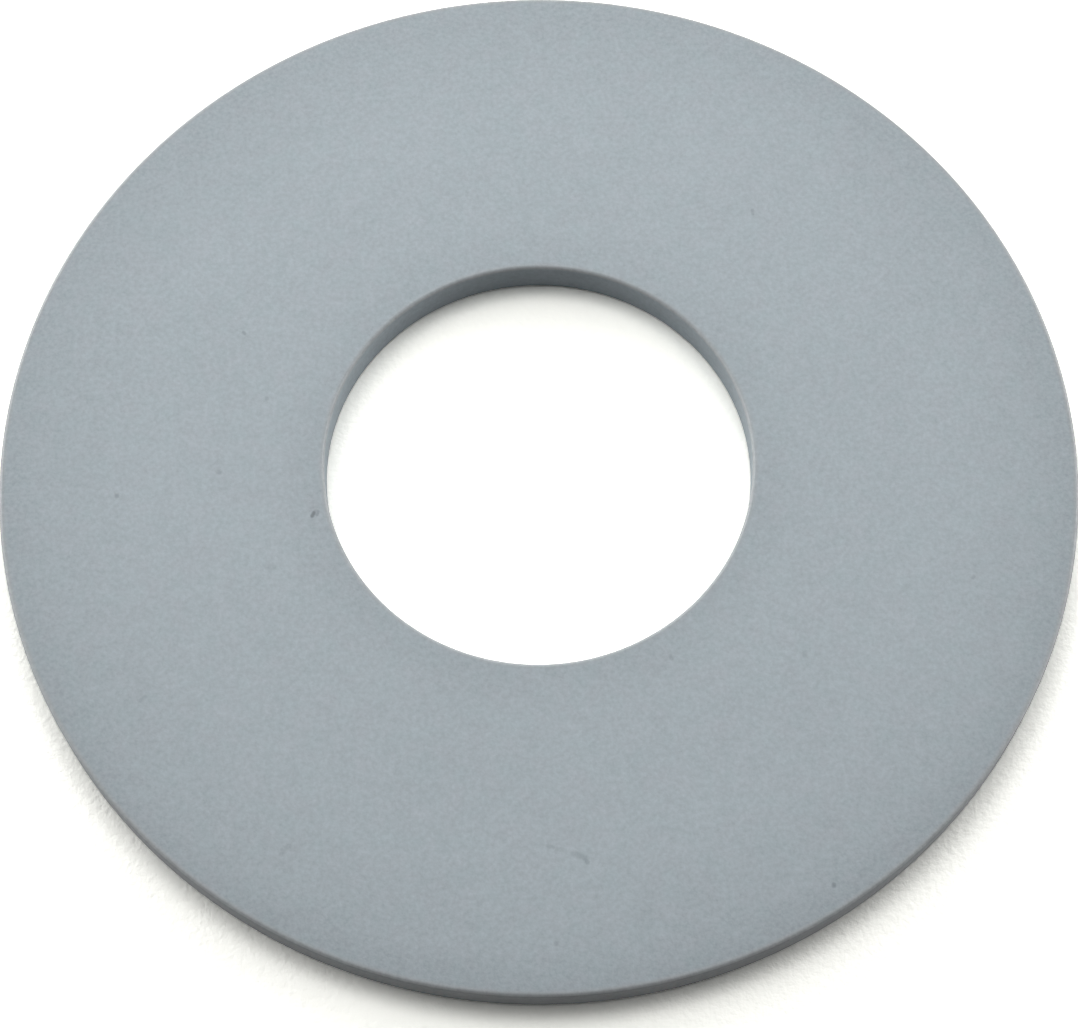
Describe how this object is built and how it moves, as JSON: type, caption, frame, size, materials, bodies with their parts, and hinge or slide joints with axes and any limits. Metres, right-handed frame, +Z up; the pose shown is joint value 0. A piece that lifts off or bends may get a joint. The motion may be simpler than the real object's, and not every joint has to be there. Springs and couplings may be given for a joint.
{
  "type": "flush valve seal",
  "caption": "Flat grey-blue rubber ring seal with a plain round bore and lightly rounded edges, for the outlet of a cistern's flush valve.",
  "frame": {"origin": "centre of the bore, on the underside that the ring rests on", "axes": "+Z up along the bore's axis, through the thickness; the ring is the same all round, so X and Y are any two directions across it"},
  "size_m": [0.063, 0.063, 0.0025],
  "materials": {
    "grey_rubber": "matte"
  },
  "bodies": {
    "root": {"seal_ring": "grey_rubber"}
  },
  "joints": []
}
